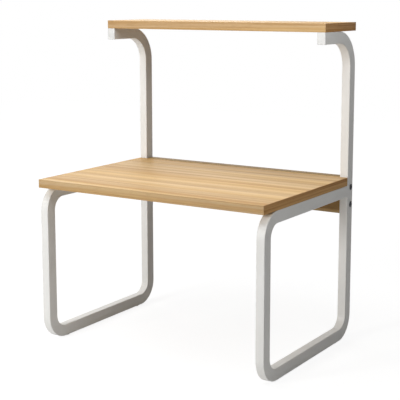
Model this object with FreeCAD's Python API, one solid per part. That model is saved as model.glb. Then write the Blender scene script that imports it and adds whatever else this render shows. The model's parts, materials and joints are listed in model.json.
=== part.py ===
import FreeCAD, Part
import math
import os

# Two-tier stand: a deep lower shelf, a shallow upper shelf and a rear brace, all of laminated board,
# carried by two side frames of bent rectangular steel tube.
# Millimetres. +X is to the right, -Y to the front, +Z up. The origin is on the floor, under the
# middle of the stand's bounding box.

# Overall sizes
overall_width = 550.0            # over the outer faces of the side frames, and the length of both shelves
overall_depth = 397.5            # from the lower shelf's front edge to the rear of the uprights
lower_shelf_height = 360.5       # floor to the top of the lower shelf
upper_shelf_height = 692.5       # floor to the top of the upper shelf
upper_shelf_depth = 147.5        # front to rear, ending flush with the rear of the uprights

# Boards
board_thickness = 18.0
brace_height = 82.0              # the brace's top is level with the lower shelf's top
band_thickness = 1.0             # strip glued on each visible board edge
band_edge_radius = 0.6           # trimmed corner of an edge band

# Bent tube of the side frames
tube_width = 19.0                # along X
tube_depth = 25.0                # in the plane of the frame
tube_wall = 1.2
tube_corner_radius = 1.5
loop_bend_radius = 27.5          # inside radius of the three bends around the open loop
arm_bend_radius = 51.5           # inside radius of the bend from the upright into the upper arm
leg_set_back = 5.0               # front leg behind the lower shelf's front edge
weld_radius = 1.5                # smoothed weld where the top rail ends on the upright
weld_clearance = 0.5             # between that weld and the lower shelf's rear edge

# Plug in the front end of each upper arm
plug_plate = 2.0
plug_depth = 12.0
plug_wall = 1.5
plug_clearance = 0.1             # between the plug's sleeve and the tube's inner walls
plug_edge_radius = 0.6           # softened edge of the cover plate's front

# Push-in feet under the bottom rails
foot_height = 2.0
foot_diameter = 14.0
foot_rim_chamfer = 0.5
foot_stem_diameter = 6.0
foot_stem_length = 9.0
foot_stem_clearance = 0.1
foot_stem_chamfer = 1.0
foot_bend_distance = 12.0        # from the end of a bottom bend to the middle of the foot

# Bolts with a low domed head
bolt_diameter = 6.0
brace_bolt_head_diameter = 13.5  # wide heads, seen on the outer sides of the uprights
shelf_bolt_head_diameter = 10.5  # small enough to go up into the tubes
bolt_head_height = 1.8
bolt_head_rim = 0.5
bolt_tip_chamfer = 0.8
bolt_hole_clearance = 0.6        # added to the bolt's diameter for its holes in tube and board
socket_across_flats = 4.0
socket_depth = 2.0
socket_land = 0.7                # flat ring between the socket's corners and the dome

# Threaded inserts in the undersides of the shelves
insert_diameter = 9.0
insert_flange_diameter = 11.5
insert_flange_height = 1.0
insert_cover = 5.0               # board left above an insert
insert_tip_room = 1.0            # thread left free above the bolt's tip

# Bolts into those inserts. Their heads go up into the tube and seat inside it, under its top wall.
access_hole_clearance = 1.5      # added to the bolt head's diameter for its way in through the bottom wall
rail_bolt_bend_distance = 30.0   # from the front top bend to the front bolt of the lower shelf
rail_bolt_rear_distance = 50.0   # from the upright to the rear bolt of the lower shelf
arm_access_plug_gap = 3.0        # from the plug's inner end to the rim of the front access hole
arm_access_bend_gap = 5.0        # from the arm's bend to the rim of the rear access hole

# Barrel nuts that pull the brace against the uprights
barrel_nut_diameter = 10.0
barrel_nut_clearance = 0.1       # around the nut in its pocket
barrel_nut_front_cover = 2.5     # board left in front of the nut
barrel_nut_recess = 2.5          # nut below the brace's rear face
barrel_nut_end_distance = 30.0   # from the brace's end to the nut's axis
barrel_nut_slot_width = 1.6
barrel_nut_slot_depth = 2.0
brace_bolt_edge_distance = 21.0  # from the brace's bottom edge to the lower bolt
brace_bolt_spacing = 38.0
brace_bolt_past_nut = 2.0        # bolt standing out beyond the nut
brace_bore_tip_room = 3.0        # bore beyond the bolt's tip

# Planes of the stand
right_face = overall_width / 2
front_face = -overall_depth / 2
rear_face = overall_depth / 2
tube_bottom = foot_height
lower_shelf_bottom = lower_shelf_height - board_thickness
upper_shelf_bottom = upper_shelf_height - board_thickness
upper_shelf_front = rear_face - upper_shelf_depth
rail_bottom = lower_shelf_bottom - tube_depth
arm_bottom = upper_shelf_bottom - tube_depth
leg_front = front_face + leg_set_back
upright_front = rear_face - tube_depth
arm_tube_end = upper_shelf_front + plug_plate
lower_shelf_rear = upright_front - weld_radius - weld_clearance
brace_front = rear_face - board_thickness
brace_bottom = lower_shelf_height - brace_height
brace_end = right_face - tube_width
brace_middle = rear_face - board_thickness / 2
loop_outer_radius = loop_bend_radius + tube_depth
arm_outer_radius = arm_bend_radius + tube_depth
frame_centres = {"left": tube_width / 2 - right_face, "right": right_face - tube_width / 2}

# Places of the fasteners and feet
bolt_hole_diameter = bolt_diameter + bolt_hole_clearance
access_hole_diameter = shelf_bolt_head_diameter + access_hole_clearance
insert_length = board_thickness - insert_cover
shelf_bolt_length = tube_wall + insert_length - insert_tip_room
rail_bolt_places = (
    leg_front + loop_outer_radius + rail_bolt_bend_distance,
    upright_front - rail_bolt_rear_distance,
)
arm_bolt_places = (
    arm_tube_end + plug_depth + arm_access_plug_gap + access_hole_diameter / 2,
    rear_face - arm_outer_radius - arm_access_bend_gap - access_hole_diameter / 2,
)
brace_bolt_heights = (
    brace_bottom + brace_bolt_edge_distance,
    brace_bottom + brace_bolt_edge_distance + brace_bolt_spacing,
)
brace_bolt_reach = barrel_nut_end_distance + barrel_nut_diameter / 2 + brace_bolt_past_nut
foot_places = {
    "front": leg_front + loop_outer_radius + foot_bend_distance,
    "rear": rear_face - loop_outer_radius - foot_bend_distance,
}

up = FreeCAD.Vector(0, 0, 1)
along_x = FreeCAD.Vector(1, 0, 0)
along_y = FreeCAD.Vector(0, 1, 0)


def box(low, high):
    """Box between two opposite corners."""
    size = [b - a for a, b in zip(low, high)]
    return Part.makeBox(*size, FreeCAD.Vector(*low))


def rounded_outline(corners):
    """Closed wire in the YZ plane through corners (y, z, radius), each rounded by a tangent arc."""
    points = [FreeCAD.Vector(0, y, z) for y, z, _ in corners]
    runs = []
    arcs = []
    for i, (_, _, radius) in enumerate(corners):
        corner = points[i]
        if radius == 0:
            runs.append((corner, corner))
            arcs.append(None)
            continue
        back = (points[i - 1] - corner).normalize()
        ahead = (points[(i + 1) % len(points)] - corner).normalize()
        half_angle = back.getAngle(ahead) / 2
        arc_start = corner + back * (radius / math.tan(half_angle))
        arc_end = corner + ahead * (radius / math.tan(half_angle))
        middle = corner + (back + ahead).normalize() * (radius / math.sin(half_angle) - radius)
        runs.append((arc_start, arc_end))
        arcs.append(Part.Arc(arc_start, middle, arc_end).toShape())
    edges = []
    for i, arc in enumerate(arcs):
        if arc:
            edges.append(arc)
        run_end = runs[(i + 1) % len(runs)][0]
        edges.append(Part.LineSegment(runs[i][1], run_end).toShape())
    return Part.Wire(edges)


def rounded_slab(outlines, thickness, centre_x, corner_radius, square_ends):
    """Outlines extruded along X, with the long edges of both sides rounded.

    square_ends holds the Y places of cut ends, whose edges stay sharp.
    """
    face = Part.makeFace(outlines, "Part::FaceMakerBullseye")
    face.translate(FreeCAD.Vector(centre_x - thickness / 2, 0, 0))
    slab = face.extrude(along_x * thickness)
    long_edges = []
    for edge in slab.Edges:
        ends = [vertex.Point for vertex in edge.Vertexes]
        across = abs(ends[0].x - ends[-1].x) > thickness / 2
        at_cut_end = any(all(abs(end.y - y) < 0.01 for end in ends) for y in square_ends)
        if not across and not at_cut_end:
            long_edges.append(edge)
    return slab.makeFillet(corner_radius, long_edges)


def frame_outlines():
    """Outer outline of a side frame and the window inside its loop."""
    outer = rounded_outline([
        (arm_tube_end, upper_shelf_bottom, 0),
        (rear_face, upper_shelf_bottom, arm_outer_radius),
        (rear_face, tube_bottom, loop_outer_radius),
        (leg_front, tube_bottom, loop_outer_radius),
        (leg_front, lower_shelf_bottom, loop_outer_radius),
        (upright_front, lower_shelf_bottom, weld_radius),
        (upright_front, arm_bottom, arm_bend_radius),
        (arm_tube_end, arm_bottom, 0),
    ])
    window = rounded_outline([
        (leg_front + tube_depth, tube_bottom + tube_depth, loop_bend_radius),
        (upright_front, tube_bottom + tube_depth, loop_bend_radius),
        (upright_front, rail_bottom, weld_radius),
        (leg_front + tube_depth, rail_bottom, loop_bend_radius),
    ])
    return [outer, window]


def cavity_outline():
    """Inside of the tube, from the arm's open end round to the top rail's end on the upright."""
    wall = tube_wall
    leg_rear = leg_front + tube_depth
    bottom_rail_top = tube_bottom + tube_depth
    return rounded_outline([
        (arm_tube_end, upper_shelf_bottom - wall, 0),
        (rear_face - wall, upper_shelf_bottom - wall, arm_outer_radius - wall),
        (rear_face - wall, tube_bottom + wall, loop_outer_radius - wall),
        (leg_front + wall, tube_bottom + wall, loop_outer_radius - wall),
        (leg_front + wall, lower_shelf_bottom - wall, loop_outer_radius - wall),
        (upright_front, lower_shelf_bottom - wall, 0),
        (upright_front, rail_bottom + wall, 0),
        (leg_rear - wall, rail_bottom + wall, loop_bend_radius + wall),
        (leg_rear - wall, bottom_rail_top - wall, loop_bend_radius + wall),
        (upright_front + wall, bottom_rail_top - wall, loop_bend_radius + wall),
        (upright_front + wall, arm_bottom + wall, arm_bend_radius + wall),
        (arm_tube_end, arm_bottom + wall, 0),
    ])


def inner_corner_radius():
    """Corner radius inside the tube, kept above zero on a thick wall."""
    return max(tube_corner_radius - tube_wall, tube_wall / 4)


def shelf_bolt_holes(centre_x, y, tube_underside):
    """Wide access hole in the tube's bottom wall, and the bolt's own hole in its top wall."""
    access_start = FreeCAD.Vector(centre_x, y, tube_underside)
    bolt_start = FreeCAD.Vector(centre_x, y, tube_underside + tube_depth / 2)
    return [
        Part.makeCylinder(access_hole_diameter / 2, tube_depth / 2, access_start, up),
        Part.makeCylinder(bolt_hole_diameter / 2, tube_depth / 2, bolt_start, up),
    ]


def side_frame(centre_x):
    """One bent tube, hollow, with its bolt holes and foot holes."""
    outside = rounded_slab(frame_outlines(), tube_width, centre_x, tube_corner_radius, [arm_tube_end])
    inside_width = tube_width - 2 * tube_wall
    cut_ends = [arm_tube_end, upright_front]
    inside = rounded_slab([cavity_outline()], inside_width, centre_x, inner_corner_radius(), cut_ends)
    frame = outside.cut(inside)
    holes = []
    for y in rail_bolt_places:
        holes.extend(shelf_bolt_holes(centre_x, y, rail_bottom))
    for y in arm_bolt_places:
        holes.extend(shelf_bolt_holes(centre_x, y, arm_bottom))
    for z in brace_bolt_heights:
        start = FreeCAD.Vector(centre_x - tube_width / 2, brace_middle, z)
        holes.append(Part.makeCylinder(bolt_hole_diameter / 2, tube_width, start, along_x))
    for y in foot_places.values():
        start = FreeCAD.Vector(centre_x, y, tube_bottom)
        hole_radius = foot_stem_diameter / 2 + foot_stem_clearance
        holes.append(Part.makeCylinder(hole_radius, tube_depth / 2, start, up))
    return frame.cut(holes)


def arm_end_plug(centre_x):
    """Plug with a cover plate the size of the tube and an open sleeve inside it."""
    def block(width, height, low_y, high_y, radius):
        middle_z = arm_bottom + tube_depth / 2
        low = (centre_x - width / 2, low_y, middle_z - height / 2)
        high = (centre_x + width / 2, high_y, middle_z + height / 2)
        solid = box(low, high)
        along_edges = [e for e in solid.Edges if abs(e.tangentAt(e.FirstParameter).y) > 0.5]
        return solid.makeFillet(radius, along_edges)

    sleeve_trim = 2 * (tube_wall + plug_clearance)
    sleeve_width = tube_width - sleeve_trim
    sleeve_height = tube_depth - sleeve_trim
    sleeve_end = arm_tube_end + plug_depth
    sleeve_radius = inner_corner_radius()
    bore_radius = sleeve_radius / 2
    plate = block(tube_width, tube_depth, upper_shelf_front, arm_tube_end, tube_corner_radius)
    front_rim = [e for e in plate.Edges if e.BoundBox.YMax < upper_shelf_front + plug_plate / 2]
    plate = plate.makeFillet(plug_edge_radius, front_rim)
    sleeve = block(sleeve_width, sleeve_height, arm_tube_end, sleeve_end, sleeve_radius)
    bore_width = sleeve_width - 2 * plug_wall
    bore_height = sleeve_height - 2 * plug_wall
    bore = block(bore_width, bore_height, arm_tube_end, sleeve_end, bore_radius)
    return plate.fuse(sleeve.cut(bore)).removeSplitter()


def foot(centre_x, y):
    """Round glide with a stem pushed into the bottom rail."""
    disc = Part.makeCylinder(foot_diameter / 2, foot_height)
    rim = [e for e in disc.Edges if e.BoundBox.ZMax < foot_height / 2]
    disc = disc.makeChamfer(foot_rim_chamfer, rim)
    stem = Part.makeCylinder(foot_stem_diameter / 2, foot_stem_length)
    tip = [e for e in stem.Edges if e.BoundBox.ZMin > foot_stem_length / 2]
    stem = stem.makeChamfer(foot_stem_chamfer, tip)
    stem.translate(up * foot_height)
    glide = disc.fuse(stem)
    glide.translate(FreeCAD.Vector(centre_x, y, 0))
    return glide


def edge_band(low, high, axis, outer_value, round_ends):
    """Strip of edge band whose outer face is at outer_value along the axis 0, 1 or 2."""
    strip = box(low, high)
    outer_edges = []
    for edge in strip.Edges:
        on_outer_face = all(abs(vertex.Point[axis] - outer_value) < 0.01 for vertex in edge.Vertexes)
        is_long = edge.Length > board_thickness * 1.5
        if on_outer_face and (is_long or round_ends):
            outer_edges.append(edge)
    return strip.makeFillet(min(band_edge_radius, 0.8 * band_thickness), outer_edges)


def shelf_board(name, front, rear, bottom):
    """Shelf core with a band on each of its four edges. The front and rear bands lap the side bands."""
    top = bottom + board_thickness
    left_face = -right_face
    core_left = left_face + band_thickness
    core_right = right_face - band_thickness
    core_front = front + band_thickness
    core_rear = rear - band_thickness
    return {
        name + "_panel": box((core_left, core_front, bottom), (core_right, core_rear, top)),
        name + "_front_band": edge_band(
            (left_face, front, bottom), (right_face, core_front, top), 1, front, True),
        name + "_rear_band": edge_band(
            (left_face, core_rear, bottom), (right_face, rear, top), 1, rear, True),
        name + "_left_band": edge_band(
            (left_face, core_front, bottom), (core_left, core_rear, top), 0, left_face, False),
        name + "_right_band": edge_band(
            (core_right, core_front, bottom), (right_face, core_rear, top), 0, right_face, False),
    }


def brace_board():
    """Upright board between the two frames, banded along its top and bottom edges."""
    core_bottom = brace_bottom + band_thickness
    core_top = lower_shelf_height - band_thickness
    panel = box((-brace_end, brace_front, core_bottom), (brace_end, rear_face, core_top))
    return {
        "rear_brace_panel": panel.cut(brace_pockets()),
        "rear_brace_top_band": edge_band(
            (-brace_end, brace_front, core_top), (brace_end, rear_face, lower_shelf_height),
            2, lower_shelf_height, False),
        "rear_brace_bottom_band": edge_band(
            (-brace_end, brace_front, brace_bottom), (brace_end, rear_face, core_bottom),
            2, brace_bottom, False),
    }


def brace_bolt_sites():
    """Side (-1 left, 1 right) and height of each bolt of the brace."""
    return [(side, z) for side in (-1, 1) for z in brace_bolt_heights]


def brace_pockets():
    """Bores for the bolts in the brace's ends, and pockets for the barrel nuts in its rear face."""
    pockets = []
    bore_depth = brace_bolt_reach + brace_bore_tip_room
    pocket_radius = barrel_nut_diameter / 2 + barrel_nut_clearance
    pocket_depth = board_thickness - barrel_nut_front_cover
    for side, z in brace_bolt_sites():
        bore_mouth = FreeCAD.Vector(side * brace_end, brace_middle, z)
        pockets.append(Part.makeCylinder(bolt_hole_diameter / 2, bore_depth, bore_mouth, along_x * -side))
        nut_x = side * (brace_end - barrel_nut_end_distance)
        pocket_mouth = FreeCAD.Vector(nut_x, rear_face, z)
        pockets.append(Part.makeCylinder(pocket_radius, pocket_depth, pocket_mouth, -along_y))
    return pockets


def barrel_nut(side, z):
    """Cross nut with a threaded bore along X and a slot in its rear end."""
    length = board_thickness - barrel_nut_front_cover - barrel_nut_recess
    nut_x = side * (brace_end - barrel_nut_end_distance)
    nut_rear = rear_face - barrel_nut_recess
    nut_radius = barrel_nut_diameter / 2
    nut = Part.makeCylinder(nut_radius, length, FreeCAD.Vector(nut_x, nut_rear, z), -along_y)
    bore_start = FreeCAD.Vector(nut_x - nut_radius, brace_middle, z)
    bore = Part.makeCylinder(bolt_diameter / 2, barrel_nut_diameter, bore_start, along_x)
    slot = box(
        (nut_x - nut_radius, nut_rear - barrel_nut_slot_depth, z - barrel_nut_slot_width / 2),
        (nut_x + nut_radius, nut_rear, z + barrel_nut_slot_width / 2),
    )
    return nut.cut([bore, slot])


def domed_bolt(length, head_diameter):
    """Bolt with its shank from z = 0 up to length, and a domed head with a hexagon socket below."""
    shank_radius = bolt_diameter / 2
    head_radius = head_diameter / 2
    socket_radius = socket_across_flats / math.sqrt(3)
    dome_radius = socket_radius + socket_land
    # The dome is part of a sphere on the bolt's axis, through the rim and the land round the socket.
    rise = bolt_head_height - bolt_head_rim
    sphere_height = (rise ** 2 + dome_radius ** 2 - head_radius ** 2) / (2 * rise)
    sphere_radius = math.hypot(head_radius, sphere_height)
    rim_angle = math.atan2(-sphere_height, head_radius)
    land_angle = math.atan2(rise - sphere_height, dome_radius)
    middle_angle = (rim_angle + land_angle) / 2
    dome_middle = FreeCAD.Vector(
        sphere_radius * math.cos(middle_angle), 0,
        -bolt_head_rim - sphere_height - sphere_radius * math.sin(middle_angle))
    rim_low = FreeCAD.Vector(head_radius, 0, -bolt_head_rim)
    land_edge = FreeCAD.Vector(dome_radius, 0, -bolt_head_height)
    outline = [
        FreeCAD.Vector(0, 0, -bolt_head_height),
        FreeCAD.Vector(0, 0, length),
        FreeCAD.Vector(shank_radius - bolt_tip_chamfer, 0, length),
        FreeCAD.Vector(shank_radius, 0, length - bolt_tip_chamfer),
        FreeCAD.Vector(shank_radius, 0, 0),
        FreeCAD.Vector(head_radius, 0, 0),
        rim_low,
    ]
    edges = [Part.LineSegment(a, b).toShape() for a, b in zip(outline, outline[1:])]
    edges.append(Part.Arc(rim_low, dome_middle, land_edge).toShape())
    edges.append(Part.LineSegment(land_edge, outline[0]).toShape())
    bolt = Part.Face(Part.Wire(edges)).revolve(FreeCAD.Vector(), up, 360)
    hexagon = [
        FreeCAD.Vector(
            socket_radius * math.cos(math.radians(60 * i)),
            socket_radius * math.sin(math.radians(60 * i)), -bolt_head_height)
        for i in range(7)
    ]
    socket = Part.Face(Part.makePolygon(hexagon)).extrude(up * socket_depth)
    return bolt.cut(socket)


def placed_bolt(length, head_diameter, place, turn_about_y):
    """Bolt with its head's seat at a place, turned from upright about Y."""
    bolt = domed_bolt(length, head_diameter)
    bolt.rotate(FreeCAD.Vector(), along_y, turn_about_y)
    bolt.translate(FreeCAD.Vector(*place))
    return bolt


def threaded_insert(place, bore):
    """Flanged insert that fills its pocket. Without a bore it is the pocket itself."""
    base = FreeCAD.Vector(*place)
    body = Part.makeCylinder(insert_diameter / 2, insert_length, base, up)
    flange = Part.makeCylinder(insert_flange_diameter / 2, insert_flange_height, base, up)
    insert = body.fuse(flange)
    if not bore:
        return insert
    return insert.cut(Part.makeCylinder(bolt_diameter / 2, insert_length, base, up))


def shelf_fastening(name, panel, bolt_places, shelf_bottom):
    """Bolts from inside both tubes up into inserts, and the shelf's panel with their pockets."""
    head_seat = shelf_bottom - tube_wall
    sites = [(x, y) for x in frame_centres.values() for y in bolt_places]
    head = shelf_bolt_head_diameter
    bolts = [placed_bolt(shelf_bolt_length, head, (x, y, head_seat), 0) for x, y in sites]
    inserts = [threaded_insert((x, y, shelf_bottom), True) for x, y in sites]
    pockets = [threaded_insert((x, y, shelf_bottom), False) for x, y in sites]
    return {
        name + "_panel": panel.cut(pockets),
        name + "_bolts": Part.makeCompound(bolts),
        name + "_inserts": Part.makeCompound(inserts),
    }


def brace_fastening():
    """Bolts through the uprights into the barrel nuts of the brace."""
    length = tube_width + brace_bolt_reach
    bolts = []
    nuts = []
    for side, z in brace_bolt_sites():
        head_seat = (side * right_face, brace_middle, z)
        bolts.append(placed_bolt(length, brace_bolt_head_diameter, head_seat, -90 * side))
        nuts.append(barrel_nut(side, z))
    return {
        "brace_bolts": Part.makeCompound(bolts),
        "brace_barrel_nuts": Part.makeCompound(nuts),
    }


def stand():
    """Every node of the stand by name."""
    nodes = {}
    for side, centre_x in frame_centres.items():
        nodes[side + "_side_frame"] = side_frame(centre_x)
        nodes[side + "_arm_end_plug"] = arm_end_plug(centre_x)
        for end, y in foot_places.items():
            nodes[end + "_" + side + "_foot"] = foot(centre_x, y)
    nodes.update(shelf_board("lower_shelf", front_face, lower_shelf_rear, lower_shelf_bottom))
    nodes.update(shelf_board("upper_shelf", upper_shelf_front, rear_face, upper_shelf_bottom))
    nodes.update(shelf_fastening(
        "lower_shelf", nodes["lower_shelf_panel"], rail_bolt_places, lower_shelf_bottom))
    nodes.update(shelf_fastening(
        "upper_shelf", nodes["upper_shelf_panel"], arm_bolt_places, upper_shelf_bottom))
    nodes.update(brace_board())
    nodes.update(brace_fastening())
    return nodes


os.makedirs("parts", exist_ok=True)
for node, shape in stand().items():
    if not shape.isValid():
        raise ValueError(node + " is not a valid solid")
    shape.exportStep("parts/" + node + ".step")
    print(node, len(shape.Solids), "solids", round(shape.Volume), "mm3")
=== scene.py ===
import json
import math

import bmesh
import bpy
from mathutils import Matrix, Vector


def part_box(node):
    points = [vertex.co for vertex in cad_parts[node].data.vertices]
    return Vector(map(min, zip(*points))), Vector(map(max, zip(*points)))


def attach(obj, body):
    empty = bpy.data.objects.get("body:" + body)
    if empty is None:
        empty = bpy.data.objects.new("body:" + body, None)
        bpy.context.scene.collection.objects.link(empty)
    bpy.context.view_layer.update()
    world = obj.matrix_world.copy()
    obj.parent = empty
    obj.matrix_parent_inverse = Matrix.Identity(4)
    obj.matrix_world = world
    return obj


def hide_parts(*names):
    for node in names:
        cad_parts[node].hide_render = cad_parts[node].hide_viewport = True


# Dressing of the two-tier stand: smooth bent-tube side frames in place of the plain CAD ones, and a finish
# for every surface. Metres, in the CAD frame: +X to the right, -Y to the front, +Z up.

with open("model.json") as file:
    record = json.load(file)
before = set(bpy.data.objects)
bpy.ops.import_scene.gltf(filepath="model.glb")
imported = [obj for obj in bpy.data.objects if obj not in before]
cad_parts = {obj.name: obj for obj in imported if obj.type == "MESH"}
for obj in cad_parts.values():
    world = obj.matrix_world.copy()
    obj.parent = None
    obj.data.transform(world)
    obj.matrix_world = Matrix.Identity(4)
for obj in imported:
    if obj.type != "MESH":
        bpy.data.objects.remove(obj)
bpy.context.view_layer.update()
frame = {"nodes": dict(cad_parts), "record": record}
bpy.ops.object.select_all(action="DESELECT")

# Bent tube of the side frames
tube_wall = 0.0012
tube_corner_radius = 0.0015
tube_corner_steps = 5
loop_bend_radius = 0.040         # middle of the tube, in the three bends around the loop
arm_bend_radius = 0.064          # middle of the tube, in the bend from the arm to the upright
bend_steps = 18
weld_radius = 0.0015             # smoothed weld where the top rail ends on the upright
weld_steps = 4
plug_plate = 0.002               # cover plate of the plug, ahead of the arm's cut end
shelf_bolt_head_radius = 0.00525
access_hole_radius = 0.006       # way in for a shelf bolt, through the tube's bottom wall
access_hole_sides = 48
smooth_angle = math.radians(30)  # an edge that turns by more stays sharp
same_place = 0.00001             # points nearer than this are one point

# Printed grain of the boards
face_streak_width = 0.026        # broad streak on the shelves' faces
brace_streak_width = 0.032
band_streak_width = 0.012
grain_along_x = 0.0              # turn of the grain about Z
grain_along_y = math.pi / 2
fibres_per_metre = 700.0
pores_per_metre = 2200.0
yellow_tint = (1.0, 0.985, 0.86, 1.0)
cool_tint = (0.95, 0.97, 1.0, 1.0)
pore_shade = (0.70, 0.64, 0.56, 1.0)
no_shade = (1.0, 1.0, 1.0, 1.0)
laminate_roughness = 0.50
laminate_gloss = 0.05

# Studio
floor_size = 8.0
floor_reflectance = 0.8          # for the light that it throws back on to the stand
seen_floor_reflectance = 0.2     # for rays that see it
floor_glow = 0.88                # its own light near the stand, for rays that see it
glow_near = 0.4                  # distance from the stand's middle at which that light starts to rise
glow_far = 3.3                   # distance at which the floor is white by itself
stand_middle = (0.0, 0.0, 0.35)
right_arm = (0.27, 0.05, 0.6)

# Camera, found by fitting the stand's straight edges in the photograph
image_size = 400
focal_length_pixels = 1062.2
optical_axis_pixel = (207.1, 165.3)
camera_place = (1.2198, -1.9004, 0.7450)
camera_azimuth = math.radians(32.15)
camera_elevation = math.radians(9.0)
sensor_width = 36.0


# Materials

def linear(red, green, blue):
    """Linear colour with alpha from screen values of 0 to 255."""
    channels = []
    for value in (red, green, blue):
        share = value / 255
        channels.append(share / 12.92 if share <= 0.04045 else ((share + 0.055) / 1.055) ** 2.4)
    return (*channels, 1.0)


def new_material(name, roughness, metallic=0.0):
    """Material with the two settings that are the same all over it, and its node tree and shader."""
    material = bpy.data.materials.new(name)
    material.use_nodes = True
    tree = material.node_tree
    shader = tree.nodes["Principled BSDF"]
    shader.inputs["Roughness"].default_value = roughness
    shader.inputs["Metallic"].default_value = metallic
    return material, tree, shader


def add_node(tree, kind, **values):
    """Node with some inputs set. An underscore in an input's name stands for a space."""
    node = tree.nodes.new(kind)
    for name, value in values.items():
        node.inputs[name.replace("_", " ")].default_value = value
    return node


def object_place(tree, turn=0.0):
    """Place on the piece in metres, turned about Z."""
    place = tree.nodes.new("ShaderNodeTexCoord")
    mapping = add_node(tree, "ShaderNodeMapping", Rotation=(0, 0, turn))
    tree.links.new(place.outputs["Object"], mapping.inputs["Vector"])
    return mapping.outputs["Vector"]


def noise_at(tree, place, per_metre, detail):
    """Noise over a place, with this many periods to the metre along each axis."""
    mapping = add_node(tree, "ShaderNodeMapping", Scale=per_metre)
    noise = add_node(tree, "ShaderNodeTexNoise", Scale=1.0, Detail=detail, Roughness=0.55)
    tree.links.new(place, mapping.inputs["Vector"])
    tree.links.new(mapping.outputs["Vector"], noise.inputs["Vector"])
    return noise


def even_noise(tree, place, per_metre, detail):
    """Value of a noise that is equally fine along every axis."""
    return noise_at(tree, place, (per_metre, per_metre, per_metre), detail).outputs["Fac"]


def grain_noise(tree, grain, along, across, detail):
    """Value of a noise with this many periods to the metre along the grain's X and across it."""
    return noise_at(tree, grain, (along, across, across), detail).outputs["Fac"]


def drifting_grain(tree, place, drift):
    """Place whose Y and Z wander by a drift in metres, so that lines along X are not ruler-straight."""
    wander = noise_at(tree, place, per_metre=(1.6, 4.0, 4.0), detail=1.0)
    shift = tree.nodes.new("ShaderNodeVectorMath")
    shift.operation = "MULTIPLY_ADD"
    shift.inputs[1].default_value = (0, drift, drift)
    tree.links.new(wander.outputs["Color"], shift.inputs[0])
    tree.links.new(place, shift.inputs[2])
    return shift.outputs["Vector"]


def tone_ramp(tree, factor, stops):
    """Colour ramp over a factor, with stops (position, colour)."""
    node = tree.nodes.new("ShaderNodeValToRGB")
    ramp = node.color_ramp
    while len(ramp.elements) < len(stops):
        ramp.elements.new(0.5)
    for element, (position, colour) in zip(ramp.elements, stops):
        element.position = position
        element.color = colour
    tree.links.new(factor, node.inputs["Fac"])
    return node.outputs["Color"]


def shaded(tree, colour, shade, share):
    """Colour multiplied by a shade, as far as the share from 0 to 1 says."""
    node = tree.nodes.new("ShaderNodeMix")
    node.data_type = "RGBA"
    node.blend_type = "MULTIPLY"
    # The node has sockets of the same name for numbers, vectors and colours, so these go by number.
    share_input, colour_input, shade_input, colour_output = 0, 6, 7, 2
    node.inputs[share_input].default_value = share
    tree.links.new(colour, node.inputs[colour_input])
    tree.links.new(shade, node.inputs[shade_input])
    return node.outputs[colour_output]


def weighted_sum(tree, parts):
    """Sum of sockets times their weights."""
    total = None
    for socket, weight in parts:
        node = tree.nodes.new("ShaderNodeMath")
        node.operation = "MULTIPLY_ADD" if total else "MULTIPLY"
        node.inputs[1].default_value = weight
        tree.links.new(socket, node.inputs[0])
        if total:
            tree.links.new(total, node.inputs[2])
        total = node.outputs[0]
    return total


def add_bump(tree, shader, height, strength, distance):
    """Bump on the shader from a height socket, with the height's span in metres."""
    bump = add_node(tree, "ShaderNodeBump", Strength=strength, Distance=distance)
    tree.links.new(height, bump.inputs["Height"])
    tree.links.new(bump.outputs["Normal"], shader.inputs["Normal"])


def cloudy_colour(tree, shader, place, dark, light, per_metre):
    """Base colour that drifts between two near tones, with this many clouds to the metre."""
    clouds = even_noise(tree, place, per_metre, detail=3.0)
    colour = tone_ramp(tree, clouds, [(0.3, dark), (0.7, light)])
    tree.links.new(colour, shader.inputs["Base Color"])
    return clouds


def wood_print(name, tones, streak_width, grain_turn):
    """Printed wood grain that runs along X, or along Y when turned.

    tones are the dark, middle and light streaks, and streak_width is that of a broad streak. A slow tint
    makes some of them yellower and some cooler, and fine dark pores lie along the grain.
    """
    material, tree, shader = new_material(name, laminate_roughness)
    shader.inputs["Specular IOR Level"].default_value = laminate_gloss
    grain = drifting_grain(tree, object_place(tree, grain_turn), streak_width / 2)
    per_metre = 1 / streak_width
    broad = grain_noise(tree, grain, along=0.7, across=per_metre, detail=1.0)
    streaks = grain_noise(tree, grain, along=1.3, across=4 * per_metre, detail=3.0)
    fibres = grain_noise(tree, grain, along=9.0, across=fibres_per_metre, detail=3.0)
    pores = grain_noise(tree, grain, along=45.0, across=pores_per_metre, detail=1.0)
    tint = grain_noise(tree, grain, along=1.2, across=0.8 * per_metre, detail=2.0)
    tone = weighted_sum(tree, [(broad, 0.5), (streaks, 0.32), (fibres, 0.18)])
    colour = tone_ramp(tree, tone, [(0.42, tones[0]), (0.5, tones[1]), (0.58, tones[2])])
    tint_tone = tone_ramp(tree, tint, [(0.42, yellow_tint), (0.58, cool_tint)])
    colour = shaded(tree, colour, tint_tone, share=1.0)
    pore_tone = tone_ramp(tree, pores, [(0.30, pore_shade), (0.38, no_shade)])
    colour = shaded(tree, colour, pore_tone, share=0.7)
    tree.links.new(colour, shader.inputs["Base Color"])
    height = weighted_sum(tree, [(fibres, 0.5), (pores, 0.5)])
    add_bump(tree, shader, height, strength=0.2, distance=0.0001)
    return material


def powder_coat(name, dark, light, roughness):
    """Satin powder coat with its fine orange peel."""
    material, tree, shader = new_material(name, roughness)
    shader.inputs["Specular IOR Level"].default_value = 0.25
    place = object_place(tree)
    cloudy_colour(tree, shader, place, dark, light, per_metre=14.0)
    peel = even_noise(tree, place, per_metre=700.0, detail=2.0)
    add_bump(tree, shader, peel, strength=0.12, distance=0.0002)
    return material


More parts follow.
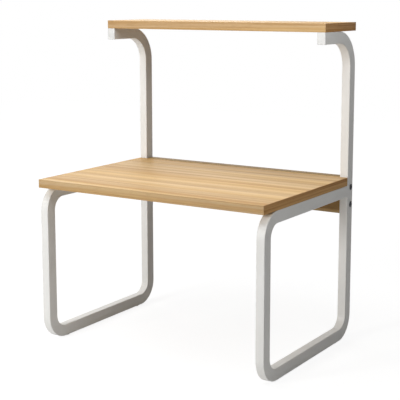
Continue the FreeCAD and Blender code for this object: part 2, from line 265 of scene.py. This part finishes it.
def moulded_plastic(name, dark, light, roughness):
    """Moulded plastic with a faint spark-eroded texture."""
    material, tree, shader = new_material(name, roughness)
    place = object_place(tree)
    cloudy_colour(tree, shader, place, dark, light, per_metre=60.0)
    texture = even_noise(tree, place, per_metre=2600.0, detail=1.0)
    add_bump(tree, shader, texture, strength=0.2, distance=0.0001)
    return material


def fastener_steel(name, dark, light, roughness):
    """Plated steel, cloudy in colour and a little uneven in the same places."""
    material, tree, shader = new_material(name, roughness, metallic=1.0)
    clouds = cloudy_colour(tree, shader, object_place(tree), dark, light, per_metre=420.0)
    add_bump(tree, shader, clouds, strength=0.08, distance=0.0001)
    return material


# Dark, middle and light streaks of each kind of board surface
face_tones = [linear(184, 143, 92), linear(202, 167, 118), linear(216, 185, 140)]
long_band_tones = [linear(174, 138, 94), linear(188, 154, 112), linear(199, 170, 131)]
# The end bands are darker and redder than the long bands: painted shade, for the shade on the boards' ends.
end_band_tones_with_painted_shade = [linear(157, 108, 63), linear(184, 137, 88), linear(206, 163, 114)]
# The brace's tones are a darker copy of the shelves' laminate: painted shade, for the shade under the lower
# shelf.
brace_tones_with_painted_shade = [linear(163, 130, 87), linear(192, 159, 114), linear(213, 185, 142)]
# Its edge bands are darker still: painted shade, for the shadowed gap behind the lower shelf's rear edge.
brace_band_tones_with_painted_shade = [linear(126, 99, 62), linear(150, 124, 85), linear(168, 145, 106)]

board_finishes = {
    "shelf_face": wood_print(
        "wood_grain_board_face", face_tones, face_streak_width, grain_along_x),
    "long_band": wood_print(
        "wood_grain_long_edge_band", long_band_tones, band_streak_width, grain_along_x),
    # End bands: painted shade, darker and redder than the long bands.
    "end_band": wood_print(
        "wood_grain_end_edge_band_painted_shade", end_band_tones_with_painted_shade, band_streak_width, grain_along_y),
    # Brace face: painted shade, a darker copy of the shelves' laminate.
    "brace_face": wood_print(
        "wood_grain_brace_face_painted_shade", brace_tones_with_painted_shade, brace_streak_width, grain_along_x),
    # Brace edge bands: painted shade, darker than the brace face.
    "brace_band": wood_print(
        "wood_grain_brace_edge_band_painted_shade", brace_band_tones_with_painted_shade, band_streak_width, grain_along_x),
}

# Finishes that go by the material slot alone
slot_finishes = {
    "powder_coated_tube": powder_coat(
        "satin_white_powder_coat", linear(228, 227, 223), linear(232, 231, 228), roughness=0.45),
    "plug_plastic": moulded_plastic(
        "white_plug_plastic", linear(202, 202, 200), linear(208, 208, 206), roughness=0.45),
    "foot_plastic": moulded_plastic(
        "grey_foot_plastic", linear(190, 190, 188), linear(200, 200, 198), roughness=0.55),
    "black_steel": fastener_steel(
        "black_oxide_steel", linear(38, 38, 40), linear(58, 58, 60), roughness=0.38),
    "zinc_steel": fastener_steel(
        "bright_zinc_steel", linear(148, 150, 154), linear(172, 174, 176), roughness=0.32),
}


def board_surface(node, slot):
    """Kind of board surface that a node of a board is, from its slot and its name."""
    on_brace = node.startswith("rear_brace")
    if slot == "laminated_board":
        return "brace_face" if on_brace else "shelf_face"
    if on_brace:
        return "brace_band"
    runs_front_to_rear = node.endswith(("left_band", "right_band"))
    return "end_band" if runs_front_to_rear else "long_band"


node_slots = {part["node"]: part["material_slot"] for part in frame["record"]["subparts"]}
for node, piece in frame["nodes"].items():
    slot = node_slots[node]
    if slot in slot_finishes:
        finish = slot_finishes[slot]
    else:
        finish = board_finishes[board_surface(node, slot)]
    piece.data.materials.clear()
    piece.data.materials.append(finish)


# Side frames

tube_low, tube_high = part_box("right_side_frame")
plug_low, plug_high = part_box("right_arm_end_plug")
tube_width = tube_high[0] - tube_low[0]
tube_depth = plug_high[2] - plug_low[2]
half_depth = tube_depth / 2
arm_end = plug_low[1] + plug_plate
arm_z = tube_high[2] - half_depth
arm_bottom = arm_z - half_depth
upright_y = tube_high[1] - half_depth
upright_front = tube_high[1] - tube_depth
bottom_z = tube_low[2] + half_depth
leg_y = tube_low[1] + half_depth
rail_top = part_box("lower_shelf_panel")[0][2]
rail_bottom = rail_top - tube_depth
rail_z = rail_top - half_depth


def select_edges(piece, wanted):
    """In edit mode, select only the edges that pass a test."""
    bpy.ops.mesh.select_all(action="DESELECT")
    bpy.ops.mesh.select_mode(type="EDGE")
    mesh = bmesh.from_edit_mesh(piece.data)
    for edge in mesh.edges:
        edge.select_set(wanted(edge))
    bmesh.update_edit_mesh(piece.data)


def run_to(place, y=None, z=None):
    """Draw the selected tube end straight out to a Y or a Z.

    place is where the end's middle is, (y, z), and the new one is returned.
    """
    step_y = 0.0 if y is None else y - place[0]
    step_z = 0.0 if z is None else z - place[1]
    bpy.ops.mesh.extrude_region_move(TRANSFORM_OT_translate={"value": (0, step_y, step_z)})
    return (place[0] + step_y, place[1] + step_z)


def quarter_bend(place, centre):
    """Sweep the selected tube end through a quarter turn about a centre (y, z).

    The turn goes from rear to down, from down to front and so on. The end's new middle is returned.
    """
    bpy.ops.mesh.spin(
        steps=bend_steps, angle=math.pi / 2, center=(0, *centre), axis=(1, 0, 0), use_auto_merge=False)
    from_centre_y = place[0] - centre[0]
    from_centre_z = place[1] - centre[1]
    return (centre[0] + from_centre_z, centre[1] - from_centre_y)


def draw_round_frame(place):
    """Draw the selected tube end from a place (y, z) on the arm down the upright and round the loop."""
    place = run_to(place, y=upright_y - arm_bend_radius)
    place = quarter_bend(place, (place[0], arm_z - arm_bend_radius))
    place = run_to(place, z=rail_top)
    place = run_to(place, z=rail_bottom)
    place = run_to(place, z=bottom_z + loop_bend_radius)
    place = quarter_bend(place, (upright_y - loop_bend_radius, place[1]))
    place = run_to(place, y=leg_y + loop_bend_radius)
    place = quarter_bend(place, (place[0], bottom_z + loop_bend_radius))
    place = run_to(place, z=rail_z - loop_bend_radius)
    place = quarter_bend(place, (leg_y + loop_bend_radius, place[1]))
    run_to(place, y=upright_front)


def all_at_y(edge, y):
    """Whether both ends of an edge are at a Y."""
    return all(abs(vertex.co.y - y) < same_place for vertex in edge.verts)


def in_weld_corner(edge):
    """Whether an edge lies across the tube in a corner between the top rail's end and the upright."""
    across = abs(edge.verts[0].co.x - edge.verts[1].co.x) > tube_width / 2
    middle = (edge.verts[0].co + edge.verts[1].co) / 2
    from_rail_face = min(abs(middle.z - rail_top), abs(middle.z - rail_bottom))
    return across and all_at_y(edge, upright_front) and from_rail_face < same_place


def between_side_and_rim(edge):
    """Whether an edge parts a face that looks along X from one that doesn't."""
    looks_sideways = [abs(face.normal.x) > 0.9 for face in edge.link_faces]
    return sum(looks_sideways) == 1


def bent_bar(name, inset):
    """Closed bar on the path of the right side frame: along the arm, down the upright and round the loop.

    inset is how far its faces lie inside the outer faces of the tube.
    """
    bar_depth = tube_depth - 2 * inset
    cut_end = arm_end - inset
    bpy.ops.object.select_all(action="DESELECT")
    bpy.ops.mesh.primitive_plane_add(
        size=bar_depth,
        location=(tube_low[0] + inset, cut_end + bar_depth / 2, arm_z),
        rotation=(0, math.pi / 2, 0))
    bar = bpy.context.object
    bar.name = name
    bpy.ops.object.transform_apply(location=True, rotation=True, scale=True)
    bpy.ops.object.mode_set(mode="EDIT")

    # The flat of the bar, drawn as one ribbon round the frame
    first_end = cut_end + bar_depth
    select_edges(bar, lambda edge: all_at_y(edge, first_end))
    draw_round_frame((first_end, arm_z))
    bpy.ops.mesh.select_all(action="SELECT")
    bpy.ops.mesh.remove_doubles(threshold=same_place)

    # Its width
    bpy.ops.mesh.select_all(action="SELECT")
    bpy.ops.mesh.extrude_region_move(TRANSFORM_OT_translate={"value": (tube_width - 2 * inset, 0, 0)})
    bpy.ops.mesh.select_all(action="SELECT")
    bpy.ops.mesh.normals_make_consistent(inside=False)

    # The weld at the end of the top rail, which only the outside has
    if inset == 0:
        select_edges(bar, in_weld_corner)
        bpy.ops.mesh.bevel(offset=weld_radius, segments=weld_steps, affect="EDGES")

    # The rounded long corners, but not the edges of the arm's cut end
    select_edges(bar, lambda edge: between_side_and_rim(edge) and not all_at_y(edge, cut_end))
    bpy.ops.mesh.bevel(offset=tube_corner_radius - inset, segments=tube_corner_steps, affect="EDGES")
    bpy.ops.object.mode_set(mode="OBJECT")
    return bar


def cut_away(piece, cutter):
    """Cut a closed shape out of a piece, and take the shape out of the scene."""
    cut = piece.modifiers.new("cut", "BOOLEAN")
    cut.operation = "DIFFERENCE"
    cut.solver = "EXACT"
    cut.object = cutter
    bpy.ops.object.select_all(action="DESELECT")
    piece.select_set(True)
    bpy.context.view_layer.objects.active = piece
    bpy.ops.object.modifier_apply(modifier=cut.name)
    bpy.data.objects.remove(cutter)


def access_hole(place):
    """Round cutter through the tube's bottom wall, at a place on its underside."""
    bpy.ops.mesh.primitive_cylinder_add(
        vertices=access_hole_sides, radius=access_hole_radius, depth=4 * tube_wall, location=place)
    return bpy.context.object


def bent_tube(name):
    """Right side frame: one hollow tube, with the holes under it that let the shelf bolts in."""
    tube = bent_bar(name, inset=0)
    cut_away(tube, bent_bar("hollow", inset=tube_wall))
    tube_middle = tube_low[0] + tube_width / 2
    for bolts, underside in (("lower_shelf_bolts", rail_bottom), ("upper_shelf_bolts", arm_bottom)):
        bolts_low, bolts_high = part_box(bolts)
        for y in (bolts_low[1] + shelf_bolt_head_radius, bolts_high[1] - shelf_bolt_head_radius):
            cut_away(tube, access_hole((tube_middle, y, underside)))
    bpy.ops.object.shade_smooth_by_angle(angle=smooth_angle)
    flats = tube.modifiers.new("true_flats", "WEIGHTED_NORMAL")
    flats.keep_sharp = True
    bpy.ops.object.modifier_apply(modifier=flats.name)
    tube.data.materials.append(slot_finishes["powder_coated_tube"])
    return tube


right_tube = bent_tube("right_bent_tube")
bpy.ops.object.select_all(action="DESELECT")
right_tube.select_set(True)
bpy.ops.object.duplicate(linked=False)
left_tube = bpy.context.object
left_tube.name = "left_bent_tube"
across_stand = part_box("left_side_frame")[0][0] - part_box("right_side_frame")[0][0]
bpy.ops.transform.translate(value=(across_stand, 0, 0))
bpy.ops.object.transform_apply(location=True, rotation=True, scale=True)
for tube, node in ((left_tube, "left_side_frame"), (right_tube, "right_side_frame")):
    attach(tube, "root")
    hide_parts(node)


# Floor, background, lamps and camera

def ray_is_seen(tree):
    """Socket that is 1 for camera, glossy and transmission rays and 0 for the rest."""
    path = tree.nodes.new("ShaderNodeLightPath")
    seen = path.outputs["Is Camera Ray"]
    for name in ("Is Glossy Ray", "Is Transmission Ray"):
        node = tree.nodes.new("ShaderNodeMath")
        node.operation = "MAXIMUM"
        tree.links.new(seen, node.inputs[0])
        tree.links.new(path.outputs[name], node.inputs[1])
        seen = node.outputs[0]
    return seen


def white_world():
    """World that is white where it is seen and gives no light of its own."""
    world = bpy.data.worlds.new("white_studio")
    world.use_nodes = True
    bpy.context.scene.world = world
    tree = world.node_tree
    background = tree.nodes["Background"]
    background.inputs["Color"].default_value = (1, 1, 1, 1)
    tree.links.new(ray_is_seen(tree), background.inputs["Strength"])


def pale_floor():
    """Floor that reads white where it is lit and keeps the stand's soft shadow.

    Rays that see it meet a darker floor with a glow of its own, and other rays the one that throws light
    back on to the stand. The glow and the lamps' light on the darker floor come to white together and little
    more, because a brighter floor would eat into the stand's edges.
    """
    bpy.ops.object.select_all(action="DESELECT")
    bpy.ops.mesh.primitive_plane_add(size=floor_size)
    floor = bpy.context.object
    floor.name = "floor"
    material, tree, shader = new_material("pale_floor", roughness=0.9)
    shader.inputs["Specular IOR Level"].default_value = 0.0
    shader.inputs["Emission Color"].default_value = (1, 1, 1, 1)
    seen = ray_is_seen(tree)
    paint = add_node(tree, "ShaderNodeMapRange", To_Min=floor_reflectance, To_Max=seen_floor_reflectance)
    tree.links.new(seen, paint.inputs["Value"])
    tree.links.new(paint.outputs["Result"], shader.inputs["Base Color"])
    distance = tree.nodes.new("ShaderNodeVectorMath")
    distance.operation = "LENGTH"
    tree.links.new(object_place(tree), distance.inputs[0])
    rise = add_node(
        tree, "ShaderNodeMapRange", From_Min=glow_near, From_Max=glow_far, To_Min=floor_glow, To_Max=1.0)
    tree.links.new(distance.outputs["Value"], rise.inputs["Value"])
    glow = tree.nodes.new("ShaderNodeMath")
    glow.operation = "MULTIPLY"
    tree.links.new(rise.outputs["Result"], glow.inputs[0])
    tree.links.new(seen, glow.inputs[1])
    tree.links.new(glow.outputs[0], shader.inputs["Emission Strength"])
    floor.data.materials.append(material)


def soft_light(name, place, target, size, power):
    """Square soft box at a place, turned to a target."""
    bpy.ops.object.light_add(type="AREA", location=place)
    lamp = bpy.context.object
    lamp.name = name
    lamp.data.shape = "SQUARE"
    lamp.data.size = size
    lamp.data.energy = power
    aim = Vector(target) - Vector(place)
    lamp.rotation_euler = aim.to_track_quat("-Z", "Y").to_euler()


def photo_camera():
    """Camera with the photograph's place, angle and framing."""
    bpy.ops.object.camera_add(
        location=camera_place, rotation=(math.pi / 2 - camera_elevation, 0, camera_azimuth))
    camera = bpy.context.object
    camera.data.sensor_width = sensor_width
    camera.data.lens = sensor_width * focal_length_pixels / image_size
    camera.data.shift_x = (image_size / 2 - optical_axis_pixel[0]) / image_size
    camera.data.shift_y = (optical_axis_pixel[1] - image_size / 2) / image_size
    bpy.context.scene.camera = camera


white_world()
pale_floor()
soft_light("low_front", (-0.86, -2.37, 0.93), stand_middle, size=0.6, power=34.0)
soft_light("high_left", (-0.8, -0.4, 1.5), stand_middle, size=1.0, power=7.6)
soft_light("overhead", (0.0, -0.3, 1.4), stand_middle, size=1.2, power=8.6)
soft_light("near_right", (0.75, -0.5, 0.9), stand_middle, size=0.5, power=1.1)
soft_light("upper_right", (0.6, -0.15, 0.95), right_arm, size=0.3, power=0.65)
soft_light("rear_left", (-1.45, 1.72, 1.65), stand_middle, size=1.4, power=16.9)
photo_camera()
bpy.context.scene.view_settings.view_transform = "Standard"
